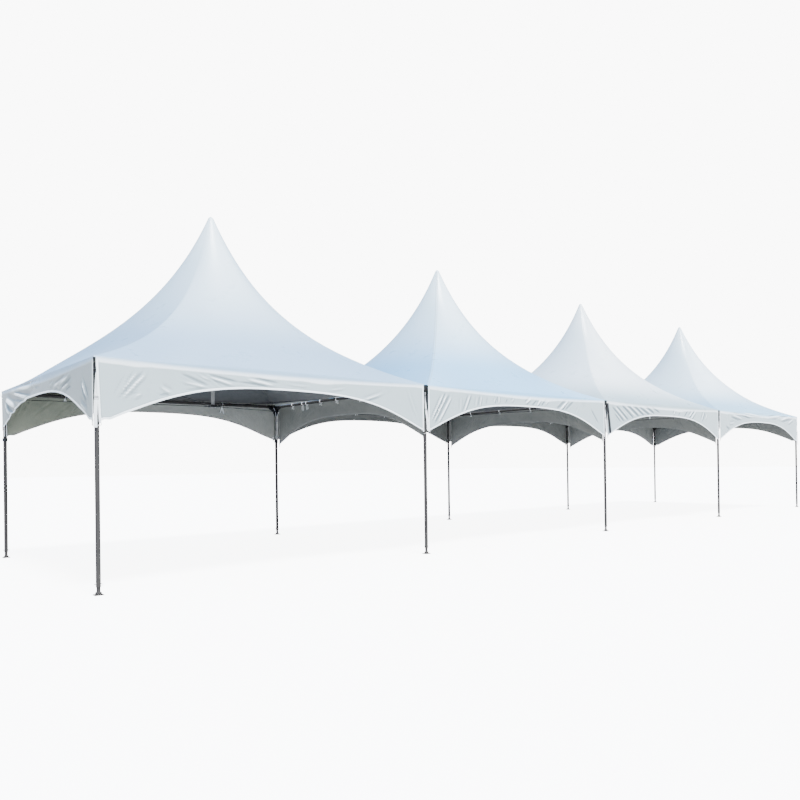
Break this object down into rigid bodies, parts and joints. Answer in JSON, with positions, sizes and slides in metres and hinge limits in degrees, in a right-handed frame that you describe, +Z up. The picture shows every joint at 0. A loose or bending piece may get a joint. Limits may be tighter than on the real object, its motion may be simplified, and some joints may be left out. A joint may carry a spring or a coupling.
{
  "type": "marquee tent",
  "caption": "Row of high-peak frame tents on tube legs, each with a mast on crossed cables and arched fabric valances.",
  "frame": {"origin": "on the ground under the centre of the row", "axes": "+X along the row, +Y from the near side to the far side, +Z up"},
  "size_m": [18.37, 4.66, 5.1694],
  "materials": {
    "frame_aluminium": "mill finish, slightly dulled",
    "galvanised_steel": "dull zinc",
    "white_fabric": "coated cloth with a soft sheen"
  },
  "bodies": {
    "root": {"leg_near_1": "frame_aluminium", "corner_fitting_near_1": "galvanised_steel", "leg_near_2": "frame_aluminium", "tee_fitting_near_2": "galvanised_steel", "leg_near_3": "frame_aluminium", "tee_fitting_near_3": "galvanised_steel", "leg_near_4": "frame_aluminium", "tee_fitting_near_4": "galvanised_steel", "leg_near_5": "frame_aluminium", "corner_fitting_near_5": "galvanised_steel", "eave_rail_near_1": "frame_aluminium", "eave_rail_near_2": "frame_aluminium", "eave_rail_near_3": "frame_aluminium", "eave_rail_near_4": "frame_aluminium", "leg_far_1": "frame_aluminium", "corner_fitting_far_1": "galvanised_steel", "leg_far_2": "frame_aluminium", "tee_fitting_far_2": "galvanised_steel", "leg_far_3": "frame_aluminium", "tee_fitting_far_3": "galvanised_steel", "leg_far_4": "frame_aluminium", "tee_fitting_far_4": "galvanised_steel", "leg_far_5": "frame_aluminium", "corner_fitting_far_5": "galvanised_steel", "eave_rail_far_1": "frame_aluminium", "eave_rail_far_2": "frame_aluminium", "eave_rail_far_3": "frame_aluminium", "eave_rail_far_4": "frame_aluminium", "cross_rail_1": "frame_aluminium", "cross_rail_2": "frame_aluminium", "cross_rail_3": "frame_aluminium", "cross_rail_4": "frame_aluminium", "cross_rail_5": "frame_aluminium", "mast_1": "frame_aluminium", "crossed_cables_1": "galvanised_steel", "canopy_1": "white_fabric", "mast_2": "frame_aluminium", "crossed_cables_2": "galvanised_steel", "canopy_2": "white_fabric", "mast_3": "frame_aluminium", "crossed_cables_3": "galvanised_steel", "canopy_3": "white_fabric", "mast_4": "frame_aluminium", "crossed_cables_4": "galvanised_steel", "canopy_4": "white_fabric"}
  },
  "joints": []
}
